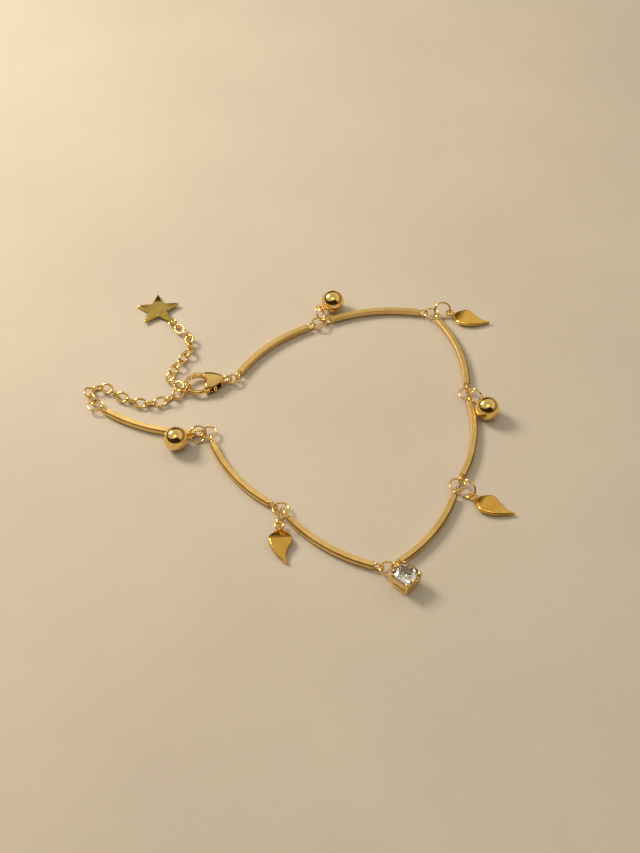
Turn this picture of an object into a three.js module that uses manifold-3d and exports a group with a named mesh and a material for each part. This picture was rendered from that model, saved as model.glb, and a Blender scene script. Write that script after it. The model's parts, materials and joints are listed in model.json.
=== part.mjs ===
// A gold charm bracelet, closed and lying flat: eight curved bars joined by rings, with seven charms,
// a lobster clasp and an extender chain that ends in a star.
// Millimetres, +Z up, the floor at z = 0, +X to the right and +Y away from the viewer.
import * as THREE from 'three';
import { ConvexGeometry } from 'three/addons/geometries/ConvexGeometry.js';
import { mergeVertices } from 'three/addons/utils/BufferGeometryUtils.js';
import Module from 'manifold-3d';

const wasm = await Module();
wasm.setup();

const GAP = 0.06;               // least clearance between pieces that move on each other
const FLOOR_GAP = 0.02;         // what rests stands this far clear of the floor
const RING_SIDES = 13;          // sides of a ring seen face on
const EYE_SIDES = 12;
const OVAL_SIDES = 10;          // of a link or a pulled eye: has no corner at the middle of its long sides
const WIRE_SIDES = 6;           // sides of the wire's own section

// bars
const BAR_CHORD = 16;           // end to end of a bar, without its eyes
const BAR_SWEEP = rad(36);      // angle that a bar turns through
const BAR_WIDE = 1.05;          // section, seen from above and from the side
const BAR_TALL = 0.9;
const BAR_CHAMFER = 0.12;
const BAR_STEPS = 9;
const EYE_RADIUS = 0.6;         // centreline of the soldered wire eyes
const EYE_WIRE = 0.34;
const EYE_PULL = 0.4;           // the bar's eyes are this much longer than wide
const EYE_SUNK = 0.35;          // part of the eye that is soldered into the bar's end
const EYE_SEAT = 0.9;           // from the bar's end to the ring that hangs in its eye
const BAR_Z = EYE_RADIUS + EYE_WIRE / 2 + FLOOR_GAP;

// rings
const LINK_RADIUS = 1.25;       // centreline of the rings between bars
const LINK_Z = 0.93;
const CHARM_RADIUS = 1.4;       // centreline of the rings that carry a charm
const SMALL_RADIUS = 1.0;       // centreline of the rings at the clasp and at the star
const RING_WIRE = 0.32;
const RING_SLACK = 0.2;         // play of a charm's ring in the ring of its joint
const EYE_PLAY = 0.05;          // play of an eye outwards on its ring

// charms
const BALL_RADIUS = 2;
const BALL_EYE_RADIUS = 0.5;
const BALL_EYE_OUT = 2.36;      // ball centre to the middle of its eye
const LEAF_LENGTH = 6.5;
const LEAF_THICK = 0.6;
const LEAF_CHAMFER = 0.14;
const LEAF_NECK = 0.7;          // middle of the leaf's eye to where the leaf starts
const FLAT_EYE_RADIUS = 0.62;   // the eyes of the leaves and the star
const STAR_TIP = 4.1;
const STAR_INNER = 1.75;
const STAR_THICK = 0.65;
const STAR_CHAMFER = 0.14;
const STAR_EYE_OUT = 4.45;      // star centre to the middle of its eye

// crystal
const STONE_RADIUS = 1.95;
const TABLE_RADIUS = 1.1;
const CROWN = 0.55;
const PAVILION = 1.42;
const GIRDLE = 0.14;
const GIRDLE_Z = 2.6;
const BASE_SIDE = 3.2;          // the setting's square base
const BASE_THICK = 0.9;
const BASE_CHAMFER = 0.1;
const CUP_SIDE = 3.4;           // the square cup that holds the stone, over a slot above the base
const CUP_WALL = 0.5;
const CUP_Z = [1.2, 2.35];      // foot and rim of the cup
const PRONG_RADIUS = 0.32;
const PRONG_RISE = [            // a prong's middle, from the base to over the stone's edge
  { out: 1.24, z: 0.14 },
  { out: 1.42, z: 1.5 },
  { out: 1.52, z: 2.5 },
  { out: 1.42, z: 2.95 },
];
const STONE_PLAY = 0.03;        // how much wider the stone's seat is, as a share
const BASKET_EYE_OUT = 2.05;    // middle of the setting to the middle of its eye

// clasp, along its own +X from the middle of its tail eye to the nose
const HOOK_X = 5.0;
const HOOK_RADIUS = 2.0;
const HOOK_WIRE = 0.74;
const HOOK_FROM = rad(-52);     // the hook's arc, from its tip's inner edge back into the body
const HOOK_TO = rad(150);
const HOOK_SLANT = rad(22);     // how much further the tip's outer edge reaches
const HOOK_TURN = rad(20);      // where on the hook the held link sits, from the nose
const CLASP_THICK = 2.0;
const CLASP_CHAMFER = 0.3;
const CLASP_Z = CLASP_THICK / 2 + 0.05;
const CLASP_LOWER = [[0.6, -0.55], [2.2, -2.0], [3.7, -1.95]];   // bent edges, from the tail
const CLASP_UPPER = [[0.6, 0.55], [2.4, 2.1], [4.1, 2.25]];
const CLASP_HOLLOW = { from: rad(215), to: rad(120) };    // the body's end inside the hook
const TAIL_RADIUS = 0.72;       // the upright eye that the clasp hangs by
const TAIL_WIRE = 0.44;
const SLOT_WIDTH = 1.2;         // the lever's slot in the body
const SLOT_GATE = { x: [1.9, 4.4], y: [-2.7, -0.1] };    // room for the lever's arm and thumb piece
const SLOT_TAB = { x: [1.15, 3.3], y: [-0.8, 2.7] };
const PIVOT = [2.9, -0.75];
const PIN_RADIUS = 0.3;
const LEVER_THICK = 0.9;
const LEVER_CHAMFER = 0.06;
const BOSS_RADIUS = 0.56;       // the lever round its pin
const GATE_WIDE = 0.64;         // the lever's arm that closes the hook
const GATE_FROM = rad(-148);
const GATE_TO = { outer: rad(-78), inner: rad(-61) };    // cut slanting, to swing in past the hook's tip
const TAB_WIDE = 0.64;          // the lever's thumb piece
const TAB_LENGTH = 3.1;
const TAB_LEAN = rad(13);

// extender
const CHAIN_WIRE = 0.4;
const CHAIN_WIRE_SIDES = 5;
const CHAIN_RADIUS = 0.72;      // centreline of a link's rounded ends
const CHAIN_PULL = 0.42;        // straight part of a link
const CHAIN_END = CHAIN_RADIUS + CHAIN_PULL / 2;
const CHAIN_FUSE = 0.14;        // how far each link is sunk into the next
const CHAIN_PITCH = 2 * CHAIN_END - CHAIN_WIRE + CHAIN_FUSE;
const CHAIN_ROLLS = [-25, 65];  // links lie flat and steep by turns
const CHAIN_Z = CHAIN_RADIUS * Math.sin(rad(CHAIN_ROLLS[1])) + CHAIN_WIRE / 2 + FLOOR_GAP;
const FORK_Z = { closing: 0.8, free: 1.45 };    // where the two runs set off from the link on the hook

// the bars' directions on the floor in order, from the extender's end round to the clasp's
const START = [-35.6, 3.3];
const BAR_HEADINGS = [-18, -53, -35, 55, 82, 104, 187, 224];

// what hangs at each of the joints between bars: its ring points along heading on the floor and is
// rolled about that way, and the charm has slid down round its ring and swung aside from it
const CHARMS = [
  { kind: 'ball', heading: 205, roll: 120, slide: 10, swing: 0 },
  { kind: 'leaf', heading: -88, roll: 65, slide: -25, swing: 2 },
  { kind: 'crystal', heading: -42 },
  { kind: 'leaf', heading: -40, roll: 60, slide: -25, swing: 8 },
  { kind: 'ball', heading: -40, roll: 85, slide: 5, swing: -36 },
  { kind: 'leaf', heading: 10, roll: 58, slide: -25, swing: -32 },
  { kind: 'ball', heading: 83, roll: 60, slide: -5, swing: -54 },
];

const STAR_ROLL = 62;
const STAR_SLIDE = -20;
const CLASP_RING_HEADING = 230;
const CLASP_HEADING = 192;
const EXTENDER_RING_HEADING = 150;
const CLOSING_HEADING = 105;    // from the extender's ring to the chain on it
// floor points that the two runs of chain pass after the link on the hook
const CLOSING_RUN = [[-26.4, 5.4], [-30, 5], [-33.6, 6.6], [-36.6, 8.6], [-38.8, 7.6]];
const FREE_RUN = [[-25.4, 11], [-24.2, 14.2], [-22.6, 17.4], [-22.9, 20.6], [-25.2, 23.4]];

// from the middle of a flat charm's eye to where it meets the floor
const FLAT_CHARMS = {
  leaf: { reach: LEAF_NECK + LEAF_LENGTH, thick: LEAF_THICK },
  star: { reach: STAR_EYE_OUT + STAR_TIP * Math.cos(rad(36)), thick: STAR_THICK },
};

const GOLD = { color: '#d9a94f', metalness: 1, roughness: 0.22 };
const CLEAR = { color: '#f4f6f8', metalness: 0, roughness: 0.02 };

function rad(degrees) {
  return degrees * Math.PI / 180;
}

function along(heading, length) {
  return new THREE.Vector2(Math.cos(heading) * length, Math.sin(heading) * length);
}

// A closed geometry as a solid that can be joined or cut.
function solid(geometry) {
  const bare = geometry.clone();
  bare.deleteAttribute('normal');
  bare.deleteAttribute('uv');
  const welded = mergeVertices(bare, 1e-4);
  const corners = welded.index.array;
  const faces = [];
  for (let i = 0; i < corners.length; i += 3) {
    const [a, b, c] = [corners[i], corners[i + 1], corners[i + 2]];
    if (a !== b && b !== c && c !== a) {
      faces.push(a, b, c);
    }
  }
  return new wasm.Manifold(new wasm.Mesh({
    numProp: 3,
    vertProperties: new Float32Array(welded.attributes.position.array),
    triVerts: new Uint32Array(faces),
  }));
}

function join(geometries) {
  return geometries.map(solid).reduce((whole, piece) => whole.add(piece));
}

function shell(body) {
  const mesh = body.getMesh();
  const geometry = new THREE.BufferGeometry();
  geometry.setAttribute('position', new THREE.BufferAttribute(mesh.vertProperties, 3));
  geometry.setIndex(new THREE.BufferAttribute(mesh.triVerts, 1));
  return geometry;
}

function piece(name, geometry, look = GOLD) {
  const mesh = new THREE.Mesh(geometry, new THREE.MeshStandardMaterial(look));
  mesh.name = name;
  return mesh;
}

function ring(radius, wire = RING_WIRE, sides = RING_SIDES, wireSides = WIRE_SIDES) {
  return new THREE.TorusGeometry(radius, wire / 2, wireSides, sides);
}

// A ring whose two halves are pulled apart along X, with straight wire between them.
function oval(radius, wire, pull, wireSides = WIRE_SIDES) {
  const loop = ring(radius, wire, OVAL_SIDES, wireSides);
  const points = loop.attributes.position;
  for (let i = 0; i < points.count; i++) {
    points.setX(i, points.getX(i) + Math.sign(points.getX(i)) * pull / 2);
  }
  return loop;
}

function polygon(corners) {
  return new THREE.Shape(corners.map(([x, y]) => new THREE.Vector2(x, y)));
}

// A flat plate of this outline, its edges chamfered, centred on z = 0.
function plate(shape, thick, chamfer, curveSegments = 6) {
  const geometry = new THREE.ExtrudeGeometry(shape, {
    depth: thick - 2 * chamfer,
    bevelThickness: chamfer,
    bevelSize: chamfer,
    bevelOffset: -chamfer,
    bevelSegments: 1,
    bevelEnabled: chamfer > 0,
    curveSegments,
  });
  return geometry.translate(0, 0, chamfer - thick / 2);
}

function block({ x, y }, height) {
  const box = new THREE.BoxGeometry(x[1] - x[0], y[1] - y[0], height);
  return box.translate((x[0] + x[1]) / 2, (y[0] + y[1]) / 2, 0);
}

// The centreline of a bar, from its chord's start at the origin along +X, bowed towards -Y.
class BarPath extends THREE.Curve {
  getPoint(t) {
    const radius = BAR_CHORD / 2 / Math.sin(BAR_SWEEP / 2);
    const turn = (t - 0.5) * BAR_SWEEP;
    const bow = radius * (Math.cos(BAR_SWEEP / 2) - Math.cos(turn));
    return new THREE.Vector3(BAR_CHORD / 2 + radius * Math.sin(turn), bow, 0);
  }
}

class ArcPath extends THREE.Curve {
  constructor(x, radius, from, to) {
    super();
    Object.assign(this, { x, radius, from, to });
  }

  getPoint(t) {
    const turn = this.from + (this.to - this.from) * t;
    return new THREE.Vector3(this.x + this.radius * Math.cos(turn), this.radius * Math.sin(turn), 0);
  }
}

function bar() {
  const [tall, wide] = [BAR_TALL / 2, BAR_WIDE / 2];
  const [low, near] = [tall - BAR_CHAMFER, wide - BAR_CHAMFER];
  const section = polygon([
    [tall, -near], [tall, near], [low, wide], [-low, wide],
    [-tall, near], [-tall, -near], [-low, -wide], [low, -wide],
  ]);
  const body = new THREE.ExtrudeGeometry(section, { steps: BAR_STEPS, extrudePath: new BarPath() });
  const eyeOut = EYE_RADIUS + EYE_WIRE / 2 + EYE_PULL / 2 - EYE_SUNK;
  const eye = oval(EYE_RADIUS, EYE_WIRE, EYE_PULL).rotateX(Math.PI / 2).translate(eyeOut, 0, 0);
  const first = eye.clone().rotateZ(Math.PI - BAR_SWEEP / 2);
  const last = eye.clone().rotateZ(BAR_SWEEP / 2).translate(BAR_CHORD, 0, 0);
  return shell(join([body, first, last]));
}

function ball() {
  const eye = ring(BALL_EYE_RADIUS, EYE_WIRE, EYE_SIDES).translate(-BALL_EYE_OUT, 0, 0);
  return shell(join([new THREE.SphereGeometry(BALL_RADIUS, 16, 12), eye]));
}

// A comma-shaped leaf from its neck at x = 0 to a tip that curls towards +Y.
function leafShape() {
  const shape = new THREE.Shape();
  shape.moveTo(0, -0.45);
  shape.bezierCurveTo(0.8, -1.3, 0.9, -1.95, 1.9, -1.85);
  shape.bezierCurveTo(3.7, -1.65, 5.3, -0.6, LEAF_LENGTH, 0.85);
  shape.bezierCurveTo(5.2, 0.55, 4.2, 0.75, 3.2, 1.35);
  shape.bezierCurveTo(1.9, 2.4, 0.9, 1.5, 0, 0.45);
  return shape;
}

function leaf() {
  const body = plate(leafShape(), LEAF_THICK, LEAF_CHAMFER, 5).translate(LEAF_NECK, 0, 0);
  return shell(join([body, ring(FLAT_EYE_RADIUS, EYE_WIRE, EYE_SIDES)]));
}

function star() {
  const corners = [];
  for (let i = 0; i < 10; i++) {
    const radius = i % 2 ? STAR_INNER : STAR_TIP;
    const corner = along(Math.PI + i * Math.PI / 5, radius);
    corners.push([corner.x, corner.y]);
  }
  const body = plate(polygon(corners), STAR_THICK, STAR_CHAMFER).translate(STAR_EYE_OUT, 0, 0);
  return shell(join([body, ring(FLAT_EYE_RADIUS, EYE_WIRE, EYE_SIDES)]));
}

// A round cut stone: eight-sided table, kite facets, a thin girdle and a pointed pavilion.
function stone(grow = 0) {
  const levels = [
    { count: 8, radius: TABLE_RADIUS, z: GIRDLE / 2 + CROWN, turn: 0 },
    { count: 8, radius: 1.58, z: GIRDLE / 2 + 0.27, turn: 0.5 },
    { count: 16, radius: STONE_RADIUS, z: GIRDLE / 2, turn: 0 },
    { count: 16, radius: STONE_RADIUS, z: -GIRDLE / 2, turn: 0 },
    { count: 8, radius: 0.55, z: -GIRDLE / 2 - 1.1, turn: 0.5 },
    { count: 1, radius: 0, z: -GIRDLE / 2 - PAVILION, turn: 0 },
  ];
  const points = [];
  for (const level of levels) {
    for (let i = 0; i < level.count; i++) {
      const spot = along((i + level.turn) * 2 * Math.PI / level.count, level.radius * (1 + grow));
      points.push(new THREE.Vector3(spot.x, spot.y, level.z * (1 + grow)));
    }
  }
  return new ConvexGeometry(points).translate(0, 0, GIRDLE_Z);
}

function square(side) {
  const half = side / 2;
  return polygon([[-half, -half], [half, -half], [half, half], [-half, half]]);
}

// A four-prong setting: base, cup, a prong up each corner and an upright eye.
function setting() {
  const base = plate(square(BASE_SIDE), BASE_THICK, BASE_CHAMFER).translate(0, 0, BASE_THICK / 2);
  const outline = square(CUP_SIDE);
  outline.holes.push(square(CUP_SIDE - 2 * CUP_WALL));
  const [foot, rim] = CUP_Z;
  const cup = plate(outline, rim - foot, 0).translate(0, 0, (foot + rim) / 2);
  const parts = [base, cup];
  const prongSection = new THREE.Shape().absarc(0, 0, PRONG_RADIUS, 0, 2 * Math.PI);
  for (const [sx, sy] of [[1, 1], [-1, 1], [-1, -1], [1, -1]]) {
    const knots = PRONG_RISE.map(({ out, z }) => new THREE.Vector3(sx * out, sy * out, z));
    const extrudePath = new THREE.CatmullRomCurve3(knots);
    parts.push(new THREE.ExtrudeGeometry(prongSection, { steps: 5, curveSegments: 4, extrudePath }));
  }
  const eye = ring(EYE_RADIUS, EYE_WIRE, EYE_SIDES).rotateX(Math.PI / 2);
  parts.push(eye.translate(-BASKET_EYE_OUT, 0, LINK_Z));
  return shell(join(parts).subtract(solid(stone(STONE_PLAY))));
}

// Where the lever runs inside the clasp, open on both sides of the body.
function leverSlot() {
  return join([block(SLOT_GATE, SLOT_WIDTH), block(SLOT_TAB, SLOT_WIDTH)]);
}

function pin(radius, length) {
  return new THREE.CylinderGeometry(radius, radius, length, 12)
    .rotateX(Math.PI / 2)
    .translate(PIVOT[0], PIVOT[1], 0);
}

// The hook's round wire, its tip cut along the end of the lever's arm, which swings in past it.
function hook() {
  const section = new THREE.Shape().absarc(0, 0, HOOK_WIRE / 2, 0, 2 * Math.PI);
  const wire = new THREE.ExtrudeGeometry(section, {
    steps: 16,
    curveSegments: 5,
    extrudePath: new ArcPath(HOOK_X, HOOK_RADIUS, HOOK_FROM, HOOK_TO),
  });
  const points = wire.attributes.position;
  for (let i = 0; i < points.count; i++) {
    const x = points.getX(i) - HOOK_X;
    const y = points.getY(i);
    const radius = Math.hypot(x, y);
    const turn = Math.atan2(y, x);
    const outer = (radius - HOOK_RADIUS) / HOOK_WIRE + 0.5;
    const nearTip = Math.max(0, turn / HOOK_FROM);
    const slanted = turn - HOOK_SLANT * outer * nearTip;
    points.setX(i, HOOK_X + radius * Math.cos(slanted));
    points.setY(i, radius * Math.sin(slanted));
  }
  return wire;
}

function claspBody() {
  const outline = new THREE.Shape();
  outline.moveTo(...CLASP_LOWER[0]);
  outline.quadraticCurveTo(...CLASP_LOWER[1], ...CLASP_LOWER[2]);
  const { from, to } = CLASP_HOLLOW;
  outline.absarc(HOOK_X, 0, HOOK_RADIUS - HOOK_WIRE / 2, from, to, true);
  outline.lineTo(...CLASP_UPPER[2]);
  outline.quadraticCurveTo(...CLASP_UPPER[1], ...CLASP_UPPER[0]);
  const tail = ring(TAIL_RADIUS, TAIL_WIRE, EYE_SIDES).rotateX(Math.PI / 2);
  const whole = join([plate(outline, CLASP_THICK, CLASP_CHAMFER), hook(), tail]);
  return shell(whole.subtract(leverSlot()).subtract(solid(pin(PIN_RADIUS + GAP, 2 * CLASP_THICK))));
}

function claspLever() {
  const gate = new THREE.Shape();
  gate.absarc(HOOK_X, 0, HOOK_RADIUS + GATE_WIDE / 2, GATE_FROM, GATE_TO.outer, false);
  gate.absarc(HOOK_X, 0, HOOK_RADIUS - GATE_WIDE / 2, GATE_TO.inner, GATE_FROM, true);
  const boss = new THREE.CylinderGeometry(BOSS_RADIUS, BOSS_RADIUS, LEVER_THICK, 14).rotateX(Math.PI / 2);
  const tabRoom = { x: [-TAB_WIDE / 2, TAB_WIDE / 2], y: [0, TAB_LENGTH] };
  const tab = block(tabRoom, LEVER_THICK).rotateZ(TAB_LEAN);
  const whole = join([
    plate(gate, LEVER_THICK, LEVER_CHAMFER, 8),
    boss.translate(PIVOT[0], PIVOT[1], 0),
    tab.translate(PIVOT[0], PIVOT[1], 0),
  ]);
  return shell(whole.subtract(solid(pin(PIN_RADIUS + GAP, 2 * CLASP_THICK))));
}

// The ring at a joint and whatever hangs on it, pointing along the group's own +X.
function joint(charm, number, count) {
  const group = new THREE.Group();
  const link = piece(`link_ring_${number}`, ring(LINK_RADIUS));
  link.position.z = LINK_Z;
  group.add(link);
  if (charm.kind === 'crystal') {
    const reach = LINK_RADIUS + 2 * EYE_PLAY + BASKET_EYE_OUT;
    group.add(piece('crystal_setting', setting()), piece('crystal_stone', stone(), CLEAR));
    group.children.slice(1).forEach((part) => part.position.setX(reach));
    return group;
  }
  const roll = rad(charm.roll);
  const carrier = piece(`${charm.kind}_ring_${count}`, ring(CHARM_RADIUS));
  carrier.rotation.x = roll;
  carrier.position.set(hangDistance(roll), 0, ringHeight(CHARM_RADIUS, roll));
  const hung = piece(`${charm.kind}_charm_${count}`, charm.kind === 'ball' ? ball() : leaf());
  hang(hung, eyeOn(carrier, CHARM_RADIUS, rad(charm.slide)), rad(charm.swing), charm.kind);
  group.add(carrier, hung);
  return group;
}

// The point of a carrying ring where a charm's eye hangs, after it has slid round by this angle.
function eyeOn(carrier, radius, slide) {
  const point = new THREE.Vector3(Math.cos(slide), Math.sin(slide), 0).multiplyScalar(radius + EYE_PLAY);
  return point.applyEuler(carrier.rotation).add(carrier.position);
}

// Lays a charm on the floor with its eye at this point: balls lie on their side, plates slope a little.
function hang(charm, eye, swing, kind) {
  charm.rotation.order = 'ZYX';
  charm.rotation.z = swing;
  charm.position.copy(eye);
  if (kind === 'ball') {
    const dip = Math.asin((BALL_RADIUS - eye.z) / BALL_EYE_OUT);
    charm.rotation.y = -dip;
    charm.position.z = BALL_RADIUS;
    charm.position.x += BALL_EYE_OUT * Math.cos(dip) * Math.cos(swing);
    charm.position.y += BALL_EYE_OUT * Math.cos(dip) * Math.sin(swing);
  } else {
    const { reach, thick } = FLAT_CHARMS[kind];
    charm.rotation.y = Math.asin((eye.z - thick / 2) / reach);
  }
}

// Height of the middle of a ring that rests on the floor, rolled by this angle.
function ringHeight(radius, roll) {
  return radius * Math.sin(roll) + RING_WIRE / 2 + FLOOR_GAP;
}

// How far out a charm's ring hangs when it is drawn tight through the flat ring of its joint.
function hangDistance(roll) {
  const drop = LINK_Z - ringHeight(CHARM_RADIUS, roll);
  const room = CHARM_RADIUS - RING_WIRE - RING_SLACK;
  const inward = Math.sqrt(room ** 2 - (drop / Math.sin(roll)) ** 2);
  const aside = drop / Math.tan(roll);
  return Math.sqrt(LINK_RADIUS ** 2 - aside ** 2) + inward;
}

function chainLink(spot, heading, roll, pull = CHAIN_PULL) {
  const link = oval(CHAIN_RADIUS, CHAIN_WIRE, pull, CHAIN_WIRE_SIDES);
  return link.rotateX(roll).rotateZ(heading).translate(spot.x, spot.y, spot.z);
}

// Links along a path, flat and steep by turns, each made just long enough to reach into the next.
function chainRun(path, count) {
  const length = path.getLength();
  const pitch = (length - 2 * CHAIN_END) / (count - 1);
  const pull = pitch - CHAIN_FUSE + CHAIN_WIRE - 2 * CHAIN_RADIUS;
  const links = [];
  for (let i = 0; i < count; i++) {
    const t = (CHAIN_END + i * pitch) / length;
    const way = path.getTangentAt(t);
    links.push(chainLink(path.getPointAt(t), Math.atan2(way.y, way.x), rad(CHAIN_ROLLS[i % 2]), pull));
  }
  return links;
}

// A smooth way from the fork down to the floor and past these points on it.
function floorPath(fork, forkZ, points) {
  const knots = points.map(([x, y]) => new THREE.Vector3(x, y, CHAIN_Z));
  knots.unshift(new THREE.Vector3(fork.x, fork.y, forkZ));
  return new THREE.CatmullRomCurve3(knots, false, 'centripetal');
}

function linkCount(path, odd) {
  const fit = (path.getLength() - 2 * CHAIN_END) / CHAIN_PITCH + 1;
  const pairs = Math.round((fit - odd) / 2);
  return 2 * pairs + odd;
}

const bracelet = new THREE.Group();

function placed(object, spot, heading, z = 0) {
  object.position.set(spot.x, spot.y, z);
  object.rotation.z = heading;
  bracelet.add(object);
  return object;
}

// bars and joints, walked from the extender's end to the clasp's end
const headings = BAR_HEADINGS.map(rad);
const kinds = {};
let spot = new THREE.Vector2(...START);
const firstEye = spot.clone().sub(along(headings[0] - BAR_SWEEP / 2, EYE_SEAT));
let lastEye;
headings.forEach((heading, i) => {
  placed(piece(`bar_${i + 1}`, bar()), spot, heading, BAR_Z);
  const outWay = heading + BAR_SWEEP / 2;
  const end = spot.clone().add(along(heading, BAR_CHORD));
  lastEye = end.add(along(outWay, EYE_SEAT));
  if (i + 1 === headings.length) {
    return;
  }
  const inWay = headings[i + 1] - BAR_SWEEP / 2;
  const middle = lastEye.clone().add(along(outWay, LINK_RADIUS));
  const charm = CHARMS[i];
  kinds[charm.kind] = (kinds[charm.kind] ?? 0) + 1;
  placed(joint(charm, i + 1, kinds[charm.kind]), middle, rad(charm.heading));
  spot = middle.add(along(inWay, LINK_RADIUS + EYE_SEAT));
});

// clasp, from the last bar's eye
const claspRingSpot = lastEye.clone().add(along(rad(CLASP_RING_HEADING), SMALL_RADIUS));
placed(piece('clasp_ring', ring(SMALL_RADIUS)), claspRingSpot, 0, LINK_Z);
const claspHeading = rad(CLASP_HEADING);
const claspSpot = claspRingSpot.clone().add(along(claspHeading, SMALL_RADIUS + 2 * EYE_PLAY));
const clasp = new THREE.Group();
clasp.add(piece('clasp_body', claspBody()), piece('clasp_lever', claspLever()));
clasp.add(piece('clasp_pin', pin(PIN_RADIUS, CLASP_THICK)));
placed(clasp, claspSpot, claspHeading, CLASP_Z);

// extender: one link on the hook, from which the closing run and the free run set off
const hookSpot = claspSpot.clone().add(along(claspHeading, HOOK_X));
const pullWay = claspHeading + HOOK_TURN;
const heldOut = HOOK_RADIUS - (HOOK_WIRE + CHAIN_WIRE) / 2 - 2 * GAP + CHAIN_END;
const heldSpot = hookSpot.clone().add(along(pullWay, heldOut));
const heldMiddle = new THREE.Vector3(heldSpot.x, heldSpot.y, CLASP_Z);
const held = chainLink(heldMiddle, pullWay, Math.PI / 2);
const fork = heldSpot.clone().add(along(pullWay, CHAIN_END - CHAIN_WIRE + CHAIN_FUSE));
const ringWay = rad(EXTENDER_RING_HEADING);
const extenderRingSpot = firstEye.clone().add(along(ringWay, LINK_RADIUS));
placed(piece('extender_ring', ring(LINK_RADIUS)), extenderRingSpot, 0, LINK_Z);
const seat = (radius) => radius - (RING_WIRE + CHAIN_WIRE) / 2 - 3 * GAP;
const closeEnd = extenderRingSpot.clone().add(along(rad(CLOSING_HEADING), seat(LINK_RADIUS)));
const closing = floorPath(fork, FORK_Z.closing, [...CLOSING_RUN, closeEnd.toArray()]);
const free = floorPath(fork, FORK_Z.free, FREE_RUN);
const freeEnd = new THREE.Vector2(...FREE_RUN.at(-1));
const links = [held, ...chainRun(closing, linkCount(closing, 0)), ...chainRun(free, linkCount(free, 1))];
bracelet.add(piece('extender_chain', shell(join(links))));

// star, on a steep ring at the free end
const starWay = Math.atan2(free.getTangentAt(1).y, free.getTangentAt(1).x);
const starEnd = new THREE.Group();
const starRing = piece('star_ring', ring(SMALL_RADIUS));
starRing.rotation.x = rad(STAR_ROLL);
starRing.position.z = ringHeight(SMALL_RADIUS, starRing.rotation.x);
const starCharm = piece('star_charm', star());
hang(starCharm, eyeOn(starRing, SMALL_RADIUS, rad(STAR_SLIDE)), 0, 'star');
starEnd.add(starRing, starCharm);
placed(starEnd, freeEnd.clone().add(along(starWay, seat(SMALL_RADIUS))), starWay);

// stand the whole with the origin in the middle of its base
const bounds = new THREE.Box3().setFromObject(bracelet, true);
const middle = bounds.getCenter(new THREE.Vector3());
bracelet.position.set(-middle.x, -middle.y, -bounds.min.z);

const part = new THREE.Group();
part.name = 'charm_bracelet';
part.add(bracelet);
export default part;
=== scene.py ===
"""Finish of a gold charm bracelet that lies on a pale floor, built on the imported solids.

Lengths are millimetres until a mesh is made, which is in metres. Every piece is laid out as its solid is:
bars and rings are walked round the bracelet, charms hang on their rings, and links follow two runs of chain.
"""
import json
import math

import bmesh
import bpy
import numpy as np
from mathutils import Matrix, Vector


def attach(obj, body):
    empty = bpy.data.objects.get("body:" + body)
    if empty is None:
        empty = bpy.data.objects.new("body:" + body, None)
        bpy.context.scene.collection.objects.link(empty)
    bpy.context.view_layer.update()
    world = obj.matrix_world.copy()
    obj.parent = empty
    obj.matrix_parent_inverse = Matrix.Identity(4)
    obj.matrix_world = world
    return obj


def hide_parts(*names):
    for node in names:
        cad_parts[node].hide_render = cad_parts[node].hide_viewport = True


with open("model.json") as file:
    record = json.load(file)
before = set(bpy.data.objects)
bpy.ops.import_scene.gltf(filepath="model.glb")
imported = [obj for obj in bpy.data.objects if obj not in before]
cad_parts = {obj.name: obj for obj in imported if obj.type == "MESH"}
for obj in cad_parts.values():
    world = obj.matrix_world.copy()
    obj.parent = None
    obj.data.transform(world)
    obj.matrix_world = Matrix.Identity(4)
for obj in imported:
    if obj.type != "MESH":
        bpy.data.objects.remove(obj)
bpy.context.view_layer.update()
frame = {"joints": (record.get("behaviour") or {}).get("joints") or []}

MM = 0.001
Z_UP = np.array([0.0, 0.0, 1.0])
FLOOR_GAP = 0.02              # what rests stands this far clear of the floor
GAP = 0.06                    # least clearance between pieces that move on each other

# bars
BAR_CHORD = 16.0              # end to end of a bar, without its eyes
BAR_SWEEP = math.radians(36)  # angle that a bar turns through
BAR_WIDE = 1.05               # section, seen from above and from the side
BAR_TALL = 0.9
BAR_ROUND = 0.1               # bevel along the plain edges
BAR_END_BEVEL = 0.07
MILL_PITCH = 0.36             # ticks of the milled groove along the outer upper edge
MILL_STEPS = 4                # sections in one tick
MILL_WIDE = 0.14
MILL_DEEP = 0.12
MILL_FILL = 0.45              # share of the groove that a tick fills
MILL_LIP = (0.04, 0.05)       # slope at the groove's lower edge, inward and down
MILL_FOOT = 0.03              # ease at the foot of its inner wall
MILL_BRINK = 0.02             # ease at its upper edge
GROOVE_SIDES = (3, 4, 5)      # sides of a bar's section that lie in its groove
LINE_PITCH = MILL_PITCH / 2   # fine lines across the bars
LINE_DEPTH = 0.008
EYE_RADIUS = 0.6              # centreline of the soldered wire eyes
EYE_WIRE = 0.34
EYE_PULL = 0.4                # a bar's eyes are this much longer than wide
EYE_SUNK = 0.35               # part of the eye that is soldered into the bar's end
EYE_SEAT = 0.9                # from the bar's end to the ring that hangs in its eye
BAR_Z = EYE_RADIUS + EYE_WIRE / 2 + FLOOR_GAP

# rings
LINK_RADIUS = 1.25            # centreline of the rings between bars
LINK_Z = 0.93
CHARM_RADIUS = 1.4            # centreline of the rings that carry a charm
SMALL_RADIUS = 1.0            # centreline of the rings at the clasp and at the star
RING_RADII = {"link": LINK_RADIUS, "extender": LINK_RADIUS, "clasp": SMALL_RADIUS, "star": SMALL_RADIUS}
RING_WIRE = 0.32
RING_SLACK = 0.2              # play of a charm's ring in the ring of its joint
RING_SLIT = math.radians(2.5)  # the cut of a jump ring
EYE_PLAY = 0.05               # play of an eye outwards on its ring

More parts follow.
